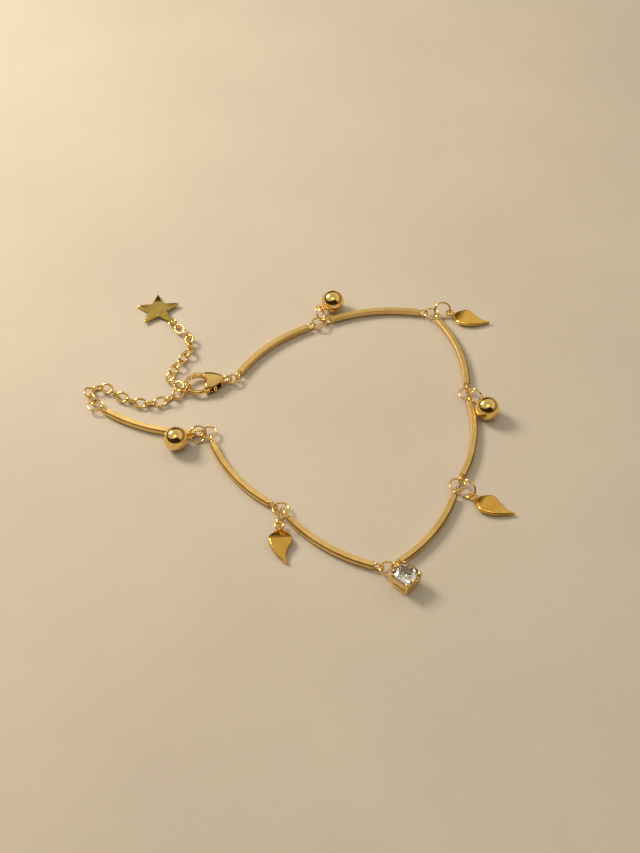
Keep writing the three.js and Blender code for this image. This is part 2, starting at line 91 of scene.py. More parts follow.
# charms
BALL_RADIUS = 2.0
BALL_EYE_RADIUS = 0.5
BALL_EYE_OUT = 2.36           # ball centre to the middle of its eye
LEAF_LENGTH = 6.5
LEAF_THICK = 0.6
LEAF_NECK = 0.7               # middle of the leaf's eye to where the leaf starts
LEAF_LOWER = [                # the two edges, from the neck to the tip, as curves with two handles each
    [(0, -0.45), (0.8, -1.3), (0.9, -1.95), (1.9, -1.85)],
    [(1.9, -1.85), (3.7, -1.65), (5.3, -0.6), (LEAF_LENGTH, 0.85)],
]
LEAF_UPPER = [
    [(0, 0.45), (0.9, 1.5), (1.9, 2.4), (3.2, 1.35)],
    [(3.2, 1.35), (4.2, 0.75), (5.2, 0.55), (LEAF_LENGTH, 0.85)],
]
LEAF_CREASE = 0.31            # where the neck's facet ends, as a share of the length
LEAF_FACET_DROP = 0.52        # how far the facet falls towards the neck
LEAF_END = 0.99               # where the last section lies, as a share of the length
LEAF_BEVEL = 0.3
LEAF_BEVEL_MOST = 0.6         # most that the bevel takes of half the leaf's width
LEAF_BEVEL_DROP = 0.16
LEAF_EDGE = 0.12              # least thickness
LEAF_ARCH = 0.16              # rise of the leaf's middle
FLAT_EYE_RADIUS = 0.62        # the eyes of the leaves and the star
STAR_POINTS = 5
STAR_TIP = 4.1
STAR_INNER = 1.75
STAR_THICK = 0.65
STAR_CHAMFER = 0.14
STAR_ROUND = 0.4              # length of edge that is rounded off at each corner
STAR_EYE_OUT = 4.45           # star centre to the middle of its eye

# crystal
STONE_RADIUS = 1.95
TABLE_RADIUS = 1.1
CROWN = 0.55
KITE_RADIUS = 1.58            # outer corners of the facets round the table
KITE_RISE = 0.27
PAVILION = 1.42
BREAK_RADIUS = 0.55           # corners where the pavilion's facets break
BREAK_DROP = 1.1
GIRDLE = 0.14
GIRDLE_Z = 2.6
BASE_SIDE = 3.2               # the setting's square base
BASE_THICK = 0.9
BASE_LEVELS = [(0.94, 0.0), (1, 0.1), (1, BASE_THICK - 0.06), (0.97, BASE_THICK)]     # scale, height
CUP_SIDE = 3.4                # the square cup that holds the stone, over a slot above the base
CUP_WALL = 0.42
CUP_ROUND = 0.08
CUP_Z = (1.2, 2.35)           # foot and rim of the cup
CORE_RADIUS = 1.15            # the post that shows in the slot
CORE_SUNK = 0.1               # how far it starts inside the base and ends under the cup
CORE_CAP = 0.2                # size of the face in the middle of its top
CORNER_ROUND = 0.5            # length of edge that is rounded off at the setting's corners
PRONG_RADIUS = 0.32
PRONG_RISE = [(1.24, 0.14), (1.42, 1.5), (1.52, 2.5), (1.40, 2.86)]   # out along x and y, height
PRONG_TAPER = [0.98, 0.95, 0.9, 0.8, 0.62, 0.3]       # sizes of its last sections, for a round tip
BASKET_EYE_OUT = 2.05         # middle of the setting to the middle of its eye

# clasp, along its own +X from the middle of its tail eye to the nose
HOOK_X = 5.0
HOOK_RADIUS = 2.0
HOOK_WIRE = 0.74
HOOK_FROM = math.radians(-52)  # the arc, from its tip's inner edge back into the body
HOOK_TO = math.radians(150)
HOOK_SLANT = math.radians(22)  # how much further the tip's outer edge reaches
HOOK_TURN = math.radians(20)  # where on the hook the held link sits, from the nose
CLASP_THICK = 2.0
CLASP_ROUND = 0.75            # length of edge that is rounded off along the body
CLASP_END_ROUND = 0.3
CLASP_STEPS = 40
CLASP_LIFT = 0.05             # how far it stands clear of the floor
CLASP_Z = CLASP_THICK / 2 + CLASP_LIFT
CLASP_LOWER = [(0.6, -0.55), (2.2, -2.0), (3.7, -1.95)]    # bent edges, from the tail
CLASP_UPPER = [(0.6, 0.55), (2.4, 2.1), (4.1, 2.25)]
CLASP_HOLLOW = HOOK_RADIUS - HOOK_WIRE / 2    # radius of the body's end inside the hook
TAIL_RADIUS = 0.72            # the upright eye that the clasp hangs by
TAIL_WIRE = 0.44
SLOT_WIDTH = 1.2              # the lever's slot in the body
SLOT_GATE = ((1.9, 4.4), (-2.7, -0.1))        # room along x and y for the lever's arm and thumb piece
SLOT_TAB = ((1.15, 3.3), (-0.8, 2.7))
PIVOT = (2.9, -0.75)
PIN_RADIUS = 0.3
PIN_HEAD = [(0.5, 0.01), (0.9, -0.03), (1, -0.1)]     # scale, height over the body's face
LEVER_THICK = 0.9
BOSS_RADIUS = 0.56            # the lever round its pin
BOSS_BEVEL = 0.06
BOSS_FACE = 0.9               # scale of the boss's end faces
GATE_WIDE = 0.64              # the lever's arm that closes the hook
GATE_ROUND = 0.18
GATE_FROM = math.radians(-148)
GATE_TO = {    # where the arm ends, at its two edges
    "outer": math.radians(-78),
    "inner": math.radians(-61),
}
TAB_WIDE = 0.64               # the lever's thumb piece
TAB_LENGTH = 3.1
TAB_ROUND = 0.2
TAB_TAPER = 0.3               # length of its rounded end
TAB_BLUNT = 0.1               # what the taper leaves at the tip, as a share
TAB_LEAN = math.radians(13)

# extender
CHAIN_WIRE = 0.4
CHAIN_RADIUS = 0.72           # centreline of a link's rounded ends
CHAIN_PULL = 0.42             # straight part of a link
CHAIN_END = CHAIN_RADIUS + CHAIN_PULL / 2
CHAIN_FUSE = 0.14             # how far each link is sunk into the next
CHAIN_PITCH = 2 * CHAIN_END - CHAIN_WIRE + CHAIN_FUSE
CHAIN_ROLLS = (math.radians(-25), math.radians(65))   # links lie flat and steep by turns
CHAIN_Z = CHAIN_RADIUS * math.sin(CHAIN_ROLLS[1]) + CHAIN_WIRE / 2 + FLOOR_GAP
CHAIN_SEAT = (RING_WIRE + CHAIN_WIRE) / 2 + 3 * GAP   # how far inside its ring's wire an end link lies
CHAIN_AHEAD = 0.05            # how far before and behind its middle a link takes its direction
FORK_Z = {"closing": 0.8, "free": 1.45}       # where the two runs set off from the link on the hook

# layout on the floor, in degrees and millimetres, from the extender's end round to the clasp's
START = (-35.6, 3.3)
BAR_HEADINGS = [-18, -53, -35, 55, 82, 104, 187, 224]
CHARMS = [
    {"kind": "ball", "heading": 205, "roll": 120, "slide": 10, "swing": 0},
    {"kind": "leaf", "heading": -88, "roll": 65, "slide": -25, "swing": 2},
    {"kind": "crystal", "heading": -42},
    {"kind": "leaf", "heading": -40, "roll": 60, "slide": -25, "swing": 8},
    {"kind": "ball", "heading": -40, "roll": 85, "slide": 5, "swing": -36},
    {"kind": "leaf", "heading": 10, "roll": 58, "slide": -25, "swing": -32},
    {"kind": "ball", "heading": 83, "roll": 60, "slide": -5, "swing": -54},
]
STAR_ROLL = math.radians(62)
STAR_SLIDE = math.radians(-20)
CLASP_RING_HEADING = math.radians(230)
CLASP_HEADING = math.radians(192)
EXTENDER_RING_HEADING = math.radians(150)
CLOSING_HEADING = math.radians(105)
# points that the extender's runs pass, to the first bar and to the star
CLOSING_RUN = [(-26.4, 5.4), (-30, 5), (-33.6, 6.6), (-36.6, 8.6), (-38.8, 7.6)]
FREE_RUN = [(-25.4, 11), (-24.2, 14.2), (-22.6, 17.4), (-22.9, 20.6), (-25.2, 23.4)]

# floor, in metres
FLOOR_FLAT = 0.5              # radius of the flat middle
FLOOR_REACH = 3.0             # radius of the rim
FLOOR_RISE = 0.25             # height of the rim
FLOOR_RINGS = 40
FLOOR_SPOKES = 96

# looks: what the patches, grain and nap measure
GOLD_PATCH = 2.5              # paler and deeper tone
POLISH_PATCH = 0.9            # more and less polish
STONE_CLOUD = 0.8
STONE_IOR = 2.15
FLOOR_PATCH = 30.0
FLOOR_NAP = 0.5
FLOOR_NAP_DEPTH = 0.05
FLOOR_CREAMS = ((0.63, 0.585, 0.515), (0.67, 0.625, 0.55))
WAVE_BAND = 2 * math.pi / 20  # length of one band of a wave texture at scale 1

# camera, in the photograph's frame of 640 by 853 pixels
CAMERA_ELEVATION = math.radians(48)
CAMERA_FAR = 240.0            # from the point that it aims at
CAMERA_NEAR = 10.0            # nothing closer is drawn
CAMERA_AIM_Z = 0.6
FOCAL_PIXELS = 1455.0
LONG_SIDE_PIXELS = 853.0
SENSOR_MM = 36.0


def along(heading, length):
    """A step on the floor in this direction."""
    return Vector((math.cos(heading) * length, math.sin(heading) * length, 0.0))


def turned(axis, angle):
    """A turn by this angle about X, Y or Z."""
    return Matrix.Rotation(angle, 4, axis)


def at(spot, height, heading):
    """A place above this spot of the floor, turned to this heading."""
    return Matrix.Translation((spot.x, spot.y, height)) @ turned("Z", heading)


def ring_height(radius, roll):
    """Height of the middle of a ring that rests on the floor, rolled by this angle."""
    return radius * math.sin(roll) + RING_WIRE / 2 + FLOOR_GAP


def hang_distance(roll):
    """How far out a charm's ring hangs when it is drawn tight through the flat ring of its joint."""
    drop = LINK_Z - ring_height(CHARM_RADIUS, roll)
    room = CHARM_RADIUS - RING_WIRE - RING_SLACK
    inward = math.sqrt(room**2 - (drop / math.sin(roll)) ** 2)
    aside = drop / math.tan(roll)
    return math.sqrt(LINK_RADIUS**2 - aside**2) + inward


def on_ring(carrier, radius, slide):
    """The point of a carrying ring where an eye hangs, after it has slid round by this angle."""
    out = radius + EYE_PLAY
    return carrier @ Vector((math.cos(slide) * out, math.sin(slide) * out, 0.0))


def hung_ball(eye, swing):
    """A ball that rests on the floor with its eye here, swung aside by this angle."""
    dip = math.asin((BALL_RADIUS - eye.z) / BALL_EYE_OUT)
    middle = eye + along(swing, BALL_EYE_OUT * math.cos(dip))
    middle.z = BALL_RADIUS
    return Matrix.Translation(middle) @ turned("Z", swing) @ turned("Y", -dip)


def hung_plate(eye, swing, reach, thick):
    """A flat charm that slopes from its eye down to the floor."""
    slope = math.asin((eye.z - thick / 2) / reach)
    return Matrix.Translation(eye) @ turned("Z", swing) @ turned("Y", slope)


def lay_joint(charm, number, count, middle):
    """The ring at a joint and whatever hangs on it."""
    kind = charm["kind"]
    group = at(middle, 0.0, math.radians(charm["heading"]))
    places = {f"link_ring_{number}": group @ Matrix.Translation((0, 0, LINK_Z))}
    if kind == "crystal":
        reach = LINK_RADIUS + 2 * EYE_PLAY + BASKET_EYE_OUT
        places["crystal_setting"] = group @ Matrix.Translation((reach, 0, 0))
        places["crystal_stone"] = places["crystal_setting"]
        return places
    roll = math.radians(charm["roll"])
    lift = Matrix.Translation((hang_distance(roll), 0, ring_height(CHARM_RADIUS, roll)))
    carrier = lift @ turned("X", roll)
    eye = on_ring(carrier, CHARM_RADIUS, math.radians(charm["slide"]))
    swing = math.radians(charm["swing"])
    if kind == "ball":
        hung = hung_ball(eye, swing)
    else:
        hung = hung_plate(eye, swing, LEAF_NECK + LEAF_LENGTH, LEAF_THICK)
    places[f"{kind}_ring_{count}"] = group @ carrier
    places[f"{kind}_charm_{count}"] = group @ hung
    return places


def between(time, start, end, first, last):
    """What lies between first, at the start, and last, at the end, at this time."""
    return ((end - time) * first + (time - start) * last) / (end - start)


def smooth_route(knots, steps=60):
    """Points along a centripetal spline through these knots."""
    knots = [np.array(knot, float) for knot in knots]
    knots = [2 * knots[0] - knots[1], *knots, 2 * knots[-1] - knots[-2]]
    route = []
    for a, b, c, d in zip(knots, knots[1:], knots[2:], knots[3:]):
        spans = [math.sqrt(np.linalg.norm(step)) for step in (b - a, c - b, d - c)]
        t0, t1, t2, t3 = np.cumsum([0.0, *spans])
        for time in np.linspace(t1, t2, steps, endpoint=False):
            before = between(time, t0, t1, a, b)
            here = between(time, t1, t2, b, c)
            after = between(time, t2, t3, c, d)
            early = between(time, t0, t2, before, here)
            late = between(time, t1, t3, here, after)
            route.append(between(time, t1, t2, early, late))
    return np.array([*route, knots[-2]])


def lengths_along(route):
    """How far along a route each of its points lies."""
    steps = np.linalg.norm(np.diff(route, axis=0), axis=1)
    return np.concatenate([[0.0], np.cumsum(steps)])


def point_on(route, marks, length):
    """The point this far along a route."""
    return np.array([np.interp(length, marks, route[:, axis]) for axis in range(3)])


def link_place(spot, heading, roll):
    """A link's place: its length along the heading, rolled about it."""
    return Matrix.Translation(spot) @ turned("Z", heading) @ turned("X", roll)


def lay_run(route, odd):
    """Places and straight lengths of the links along a route, flat and steep by turns."""
    marks = lengths_along(route)
    room = marks[-1] - 2 * CHAIN_END
    pairs = math.floor((room / CHAIN_PITCH + 1 - odd) / 2 + 0.5)
    count = 2 * pairs + odd
    pitch = room / (count - 1)
    pull = pitch - CHAIN_FUSE + CHAIN_WIRE - 2 * CHAIN_RADIUS
    links = []
    for i in range(count):
        length = CHAIN_END + i * pitch
        way = point_on(route, marks, length + CHAIN_AHEAD) - point_on(route, marks, length - CHAIN_AHEAD)
        heading = math.atan2(way[1], way[0])
        links.append((link_place(point_on(route, marks, length), heading, CHAIN_ROLLS[i % 2]), pull))
    return links


def lay_bars():
    """Places of the bars with their joints, and where the first and the last eye are held."""
    places = {}
    counts = {}
    headings = [math.radians(heading) for heading in BAR_HEADINGS]
    spot = Vector((*START, 0.0))
    first_eye = spot - along(headings[0] - BAR_SWEEP / 2, EYE_SEAT)
    for i, heading in enumerate(headings):
        places[f"bar_{i + 1}"] = at(spot, BAR_Z, heading)
        out_way = heading + BAR_SWEEP / 2
        last_eye = spot + along(heading, BAR_CHORD) + along(out_way, EYE_SEAT)
        if i == len(CHARMS):
            break
        kind = CHARMS[i]["kind"]
        counts[kind] = counts.get(kind, 0) + 1
        middle = last_eye + along(out_way, LINK_RADIUS)
        places.update(lay_joint(CHARMS[i], i + 1, counts[kind], middle))
        spot = middle + along(headings[i + 1] - BAR_SWEEP / 2, LINK_RADIUS + EYE_SEAT)
    return places, first_eye, last_eye


def lay_clasp(last_eye):
    """Places of the clasp and its ring, and the middle of its tail eye."""
    ring = last_eye + along(CLASP_RING_HEADING, SMALL_RADIUS)
    tail = ring + along(CLASP_HEADING, SMALL_RADIUS + 2 * EYE_PLAY)
    places = {"clasp_ring": at(ring, LINK_Z, 0.0)}
    for name in ("clasp_body", "clasp_lever", "clasp_pin"):
        places[name] = at(tail, CLASP_Z, CLASP_HEADING)
    return places, tail


def lay_extender(tail, first_eye):
    """Place of the extender's ring, its links from the clasp's hook, and the route of its free run."""
    pull_way = CLASP_HEADING + HOOK_TURN
    held_out = HOOK_RADIUS - (HOOK_WIRE + CHAIN_WIRE) / 2 - 2 * GAP + CHAIN_END
    held = tail + along(CLASP_HEADING, HOOK_X) + along(pull_way, held_out)
    fork = held + along(pull_way, CHAIN_END - CHAIN_WIRE + CHAIN_FUSE)
    held.z = CLASP_Z
    ring = first_eye + along(EXTENDER_RING_HEADING, LINK_RADIUS)
    close_end = ring + along(CLOSING_HEADING, LINK_RADIUS - CHAIN_SEAT)
    runs = {"closing": [*CLOSING_RUN, (close_end.x, close_end.y)], "free": FREE_RUN}
    routes = {}
    for run, points in runs.items():
        on_floor = [(x, y, CHAIN_Z) for x, y in points]
        routes[run] = smooth_route([(fork.x, fork.y, FORK_Z[run]), *on_floor])
    links = [(link_place(held, pull_way, math.pi / 2), CHAIN_PULL)]
    links += lay_run(routes["closing"], 0)
    links += lay_run(routes["free"], 1)
    return {"extender_ring": at(ring, LINK_Z, 0.0)}, links, routes["free"]


def lay_star(route):
    """Places of the star and its ring at the end of the free run."""
    way = route[-1] - route[-2]
    heading = math.atan2(way[1], way[0])
    middle = Vector((*FREE_RUN[-1], 0.0)) + along(heading, SMALL_RADIUS - CHAIN_SEAT)
    group = at(middle, 0.0, heading)
    carrier = Matrix.Translation((0, 0, ring_height(SMALL_RADIUS, STAR_ROLL))) @ turned("X", STAR_ROLL)
    eye = on_ring(carrier, SMALL_RADIUS, STAR_SLIDE)
    reach = STAR_EYE_OUT + STAR_TIP * math.cos(math.pi / STAR_POINTS)
    star = hung_plate(eye, 0.0, reach, STAR_THICK)
    return {"star_ring": group @ carrier, "star_charm": group @ star}


def lay_out():
    """Where everything lies: places by node name, and the extender's links."""
    places, first_eye, last_eye = lay_bars()
    clasp_places, tail = lay_clasp(last_eye)
    extender_places, links, free_route = lay_extender(tail, first_eye)
    places.update(clasp_places)
    places.update(extender_places)
    places.update(lay_star(free_route))
    return places, links


places, links = lay_out()
hinge = Vector(frame["joints"][0]["pos_m"]) / MM
home = Matrix.Translation(hinge - places["clasp_lever"] @ Vector((*PIVOT, 0.0)))
places = {name: home @ place for name, place in places.items()}
links = [(home @ place, pull) for place, pull in links]


def skin(sections, closed=False):
    """A skin over sections with equal numbers of points, capped at the ends unless it closes on itself."""
    sections = np.asarray(sections, float)
    count, around = sections.shape[:2]
    faces = []
    for i in range(count if closed else count - 1):
        here = i * around
        there = (i + 1) % count * around
        for k in range(around):
            after = (k + 1) % around
            faces.append((here + k, here + after, there + after, there + k))
    if not closed:
        faces.append(tuple(range(around - 1, -1, -1)))
        faces.append(tuple(range((count - 1) * around, count * around)))
    return sections.reshape(-1, 3), faces


def sweep(path, section, up=Z_UP, closed=False, sizes=None):
    """A flat section carried along a path: its x points aside and its y along up."""
    path = np.asarray(path, float)
    if closed:
        ways = np.roll(path, -1, 0) - np.roll(path, 1, 0)
    else:
        ways = np.gradient(path, axis=0)
    aside = np.cross(up, ways)
    aside /= np.linalg.norm(aside, axis=1)[:, None]
    rise = np.cross(ways, aside)
    rise /= np.linalg.norm(rise, axis=1)[:, None]
    sizes = np.ones(len(path)) if sizes is None else sizes
    sections = [
        p + size * (np.outer(section[:, 0], a) + np.outer(section[:, 1], r))
        for p, a, r, size in zip(path, aside, rise, sizes)
    ]
    return skin(sections, closed)


def round_section(radius, sides=14):
    """A circle round the origin, as a section."""
    turns = np.linspace(0, 2 * math.pi, sides, endpoint=False)
    return np.column_stack([np.cos(turns), np.sin(turns)]) * radius


def arc(radius, start, end, steps, x=0.0):
    """Points of an arc on the level plane, round a middle at this x."""
    turns = np.linspace(start, end, steps)
    return np.column_stack([x + radius * np.cos(turns), radius * np.sin(turns), 0 * turns])


def bend(start, corner, end, steps):
    """A curve from start to end that is drawn towards a corner."""
    t = np.linspace(0, 1, steps)[:, None]
    return (1 - t) ** 2 * np.array(start) + 2 * t * (1 - t) * np.array(corner) + t * t * np.array(end)


def eased_corners(corners, ease, steps=5):
    """A closed outline with this length of edge rounded off on each side of every corner."""
    corners = np.asarray(corners, float)
    outline = []
    for before, corner, after in zip(np.roll(corners, 1, 0), corners, np.roll(corners, -1, 0)):
        start = corner + (before - corner) * min(0.5, ease / np.linalg.norm(before - corner))
        end = corner + (after - corner) * min(0.5, ease / np.linalg.norm(after - corner))
        outline.append(bend(start, corner, end, steps))
    return np.vstack(outline)


def rectangle(wide, tall):
    """Corners of a rectangle round the origin."""
    return np.array([(-1, -1), (1, -1), (1, 1), (-1, 1)]) * (wide / 2, tall / 2)


def box_section(wide, tall, ease):
    """A rectangular section with rounded corners."""
    return eased_corners(rectangle(wide, tall), ease, steps=4)


def jump_ring(radius, wire=RING_WIRE):
    """A ring of round wire with the fine cut that it was opened by."""
    path = arc(radius, RING_SLIT / 2, 2 * math.pi - RING_SLIT / 2, steps=72)
    return sweep(path, round_section(wire / 2))


def closed_ring(radius, wire):
    """A soldered ring of round wire."""
    path = arc(radius, 0, 2 * math.pi, steps=49)[:-1]
    return sweep(path, round_section(wire / 2), closed=True)


def oval_ring(radius, wire, pull):
    """A closed ring whose two halves are pulled apart along X."""
    right = arc(radius, -math.pi / 2, math.pi / 2, steps=20) + (pull / 2, 0, 0)
    left = arc(radius, math.pi / 2, 3 * math.pi / 2, steps=20) - (pull / 2, 0, 0)
    return sweep(np.vstack([right, left]), round_section(wire / 2), closed=True)


def moved(shell, *matrices):
    """A shell turned and shifted by these matrices, the last one first."""
    points, faces = shell
    for matrix in reversed(matrices):
        matrix = np.array(matrix)
        points = points @ matrix[:3, :3].T + matrix[:3, 3]
    return points, faces


def stacked(outline, levels):
    """A solid of one outline scaled at each height: levels are pairs of scale and z."""
    return skin([np.column_stack([outline * scale, np.full(len(outline), z)]) for scale, z in levels])


def bar_section(fill):
    """A bar's section with a groove along its outer upper edge, filled up by this share.

    Points 3 to 6 belong to the groove.
    """
    wide = BAR_WIDE / 2
    tall = BAR_TALL / 2
    deep = MILL_DEEP * (1 - fill)
    lip_in, lip_down = MILL_LIP
    low = [(-wide + BAR_ROUND, -tall), (wide - BAR_ROUND, -tall), (wide, -tall + BAR_ROUND)]
    groove = [
        (wide, tall - MILL_DEEP - lip_down),
        (wide - lip_in, tall - MILL_DEEP),
        (wide - MILL_WIDE + MILL_FOOT, tall - MILL_FOOT - deep),
        (wide - MILL_WIDE - MILL_BRINK, tall),
    ]
    plain = [(-wide + BAR_ROUND, tall), (-wide, tall - BAR_ROUND), (-wide, -tall + BAR_ROUND)]
    return np.array([*low, *groove, *plain])


def bar():
    """Shells of a bar, and how far along it each point of the first one lies."""
    radius = BAR_CHORD / 2 / math.sin(BAR_SWEEP / 2)
    count = int(radius * BAR_SWEEP / MILL_PITCH) * MILL_STEPS
    inside = np.linspace(BAR_END_BEVEL, radius * BAR_SWEEP - BAR_END_BEVEL, count)
    marks = np.concatenate([[0.0], inside, [radius * BAR_SWEEP]])
    sections = []
    for i, mark in enumerate(marks):
        turn = mark / radius - BAR_SWEEP / 2
        middle = np.array([BAR_CHORD / 2 + radius * math.sin(turn),
                           radius * (math.cos(BAR_SWEEP / 2) - math.cos(turn)), 0.0])
        outward = np.array([math.sin(turn), -math.cos(turn), 0.0])
        fill = MILL_FILL if i % MILL_STEPS < MILL_STEPS // 2 else 0.0
        section = bar_section(fill)
        if i in (0, len(marks) - 1):
            # a section is about 1 mm across, so this draws it in by about the bevel on each side
            section = section * (1 - 2 * BAR_END_BEVEL)
        sections.append(middle + np.outer(section[:, 0], outward) + np.outer(section[:, 1], Z_UP))
    eye_out = EYE_RADIUS + EYE_WIRE / 2 + EYE_PULL / 2 - EYE_SUNK
    out = Matrix.Translation((eye_out, 0, 0)) @ turned("X", math.pi / 2)
    eye = oval_ring(EYE_RADIUS, EYE_WIRE, EYE_PULL)
    first = moved(eye, turned("Z", math.pi - BAR_SWEEP / 2), out)
    last = moved(eye, Matrix.Translation((BAR_CHORD, 0, 0)), turned("Z", BAR_SWEEP / 2), out)
    return [skin(sections), first, last], np.repeat(marks, len(sections[0]))


def from_bmesh(made):
    """Points and faces of a bmesh, which is freed."""
    points = np.array([v.co for v in made.verts])
    faces = [tuple(v.index for v in f.verts) for f in made.faces]
    made.free()
    return points, faces


def ball():
    """A ball with its eye towards -X."""
    made = bmesh.new()
    bmesh.ops.create_icosphere(made, subdivisions=5, radius=BALL_RADIUS)
    eye = closed_ring(BALL_EYE_RADIUS, EYE_WIRE)
    return [from_bmesh(made), moved(eye, Matrix.Translation((-BALL_EYE_OUT, 0, 0)))]


def curve_points(curves, shares):
    """Points at these shares of the length of a run of curves with two handles each."""
    t = np.linspace(0, 1, num=60)[:, None]
    runs = []
    for a, b, c, d in np.array(curves, float):
        runs.append((1 - t) ** 3 * a + 3 * t * (1 - t) ** 2 * b + 3 * t * t * (1 - t) * c + t**3 * d)
    route = np.vstack(runs)
    marks = lengths_along(route)
    return np.column_stack([np.interp(shares * marks[-1], marks, route[:, axis]) for axis in (0, 1)])


def leaf():
    """A comma-shaped leaf: bevelled edges, a facet at the neck and a gently arched blade."""
    facet = np.linspace(0, LEAF_CREASE, num=8, endpoint=False)
    blade = np.linspace(LEAF_CREASE, LEAF_END, num=48)
    shares = np.concatenate([facet, blade])
    across = np.sin(np.linspace(-math.pi / 2, math.pi / 2, num=41))
    sections = []
    for share, low, high in zip(shares, curve_points(LEAF_LOWER, shares), curve_points(LEAF_UPPER, shares)):
        half = np.linalg.norm(high - low) / 2
        bevel_wide = min(LEAF_BEVEL, LEAF_BEVEL_MOST * half)
        bevel = np.clip((np.abs(across) - 1) * half / bevel_wide + 1, 0, 1) ** 2
        arch = LEAF_ARCH * (1 - (2 * share - 1) ** 2)
        facet_drop = LEAF_FACET_DROP * max(0.0, 1 - share / LEAF_CREASE)
        bottom = -LEAF_THICK / 2 + arch + LEAF_BEVEL_DROP / 2 * bevel
        top = LEAF_THICK / 2 + arch - facet_drop - LEAF_BEVEL_DROP * bevel
        top = np.maximum(top, bottom + LEAF_EDGE)
        flat = (low + high) / 2 + np.outer(across, (high - low) / 2)
        upper = np.column_stack([flat, top])
        lower = np.column_stack([flat, bottom])
        sections.append(np.vstack([upper, lower[::-1]]))
    body = moved(skin(sections), Matrix.Translation((LEAF_NECK, 0, 0)))
    return [body, closed_ring(FLAT_EYE_RADIUS, EYE_WIRE)]


def star():
    """A chamfered star whose first tip points at its eye."""
    corners = []
    for i in range(2 * STAR_POINTS):
        radius = STAR_INNER if i % 2 else STAR_TIP
        turn = math.pi + i * math.pi / STAR_POINTS
        corners.append((radius * math.cos(turn), radius * math.sin(turn)))
    outline = eased_corners(corners, STAR_ROUND)
    edge = np.array(corners[1]) - np.array(corners[0])
    depth = abs(edge[0] * corners[0][1] - edge[1] * corners[0][0]) / np.linalg.norm(edge)
    inset = 1 - STAR_CHAMFER / depth
    half = STAR_THICK / 2
    levels = [(inset, -half), (1, -half + STAR_CHAMFER), (1, half - STAR_CHAMFER), (inset, half)]
    body = moved(stacked(outline, levels), Matrix.Translation((STAR_EYE_OUT, 0, 0)))
    return [body, closed_ring(FLAT_EYE_RADIUS, EYE_WIRE)]


def stone():
    """A round cut stone: eight-sided table, kite facets, a thin girdle and a pointed pavilion."""
    levels = [                # number of corners, radius, height over the girdle's middle, turn in steps
        (8, TABLE_RADIUS, GIRDLE / 2 + CROWN, 0.0),
        (8, KITE_RADIUS, GIRDLE / 2 + KITE_RISE, 0.5),
        (16, STONE_RADIUS, GIRDLE / 2, 0.0),
        (16, STONE_RADIUS, -GIRDLE / 2, 0.0),
        (8, BREAK_RADIUS, -GIRDLE / 2 - BREAK_DROP, 0.5),
        (1, 0.0, -GIRDLE / 2 - PAVILION, 0.0),
    ]
    made = bmesh.new()
    for count, radius, z, turn in levels:
        for i in range(count):
            angle = (i + turn) * 2 * math.pi / count
            made.verts.new((radius * math.cos(angle), radius * math.sin(angle), GIRDLE_Z + z))
    bmesh.ops.convex_hull(made, input=made.verts)
    made.verts.index_update()
    return [from_bmesh(made)]


def setting():
    """A four-prong setting: base, slot, cup, a prong up each corner and an upright eye."""
    base = stacked(eased_corners(rectangle(BASE_SIDE, BASE_SIDE), CORNER_ROUND), BASE_LEVELS)
    foot, rim = CUP_Z
    side = CUP_SIDE - CUP_WALL
    middle = eased_corners(rectangle(side, side), CORNER_ROUND)
    path = np.column_stack([middle, np.full(len(middle), (foot + rim) / 2)])
    cup = sweep(path, box_section(CUP_WALL, rim - foot, CUP_ROUND), closed=True)
    core_top = foot - CORE_SUNK
    core_levels = [(1, BASE_THICK - CORE_SUNK), (1, core_top), (CORE_CAP, core_top)]
    core = stacked(round_section(CORE_RADIUS, sides=32), core_levels)
    shells = [base, cup, core]
    rise = smooth_route([(out, out, z) for out, z in PRONG_RISE], steps=8)
    sizes = np.ones(len(rise))
    sizes[-len(PRONG_TAPER):] = PRONG_TAPER
    prong = sweep(rise, round_section(PRONG_RADIUS), up=np.array([1, -1, 0]) / math.sqrt(2), sizes=sizes)
    for quarter in range(4):
        shells.append(moved(prong, turned("Z", quarter * math.pi / 2)))
    eye = closed_ring(EYE_RADIUS, EYE_WIRE)
    shells.append(moved(eye, Matrix.Translation((-BASKET_EYE_OUT, 0, LINK_Z)), turned("X", math.pi / 2)))
    return shells


def scratch_object(name, shell):
    """An object of this shell, for cutting only."""
    points, faces = shell
    mesh = bpy.data.meshes.new(name)
    mesh.from_pydata(points.tolist(), [], faces)
    scratch = bpy.data.objects.new(name, mesh)
    bpy.context.scene.collection.objects.link(scratch)
    return scratch


def carved(shell, cutters):
    """A shell with these shells cut out of it."""
    body = scratch_object("carved_body", shell)
    tools = [scratch_object(f"carving_tool_{i}", cutter) for i, cutter in enumerate(cutters)]
    for tool in tools:
        cut = body.modifiers.new(tool.name, "BOOLEAN")
        cut.operation = "DIFFERENCE"
        cut.object = tool
    bpy.context.view_layer.update()
    result = body.evaluated_get(bpy.context.evaluated_depsgraph_get()).to_mesh()
    points = np.array([v.co for v in result.vertices])
    faces = [tuple(p.vertices) for p in result.polygons]
    for scratch in [body, *tools]:
        bpy.data.objects.remove(scratch)
    return points, faces


def block(room, height):
    """A block that fills this room along x and y, half of its height on each side of z = 0."""
    (x0, x1), (y0, y1) = room
    outline = np.array([(x0, y0), (x1, y0), (x1, y1), (x0, y1)])
    return stacked(outline, [(1, -height / 2), (1, height / 2)])


def hook():
    """The hook's wire, its tip cut along the end of the lever's arm."""
    path = arc(HOOK_RADIUS, HOOK_FROM, HOOK_TO, steps=60, x=HOOK_X)
    points, faces = sweep(path, round_section(HOOK_WIRE / 2, sides=20))
    x, y, z = points.T
    radius = np.hypot(x - HOOK_X, y)
    turn = np.arctan2(y, x - HOOK_X)
    outer = (radius - HOOK_RADIUS) / HOOK_WIRE + 0.5
    slanted = turn - HOOK_SLANT * outer * np.maximum(0, turn / HOOK_FROM)
    return np.column_stack([HOOK_X + radius * np.cos(slanted), radius * np.sin(slanted), z]), faces


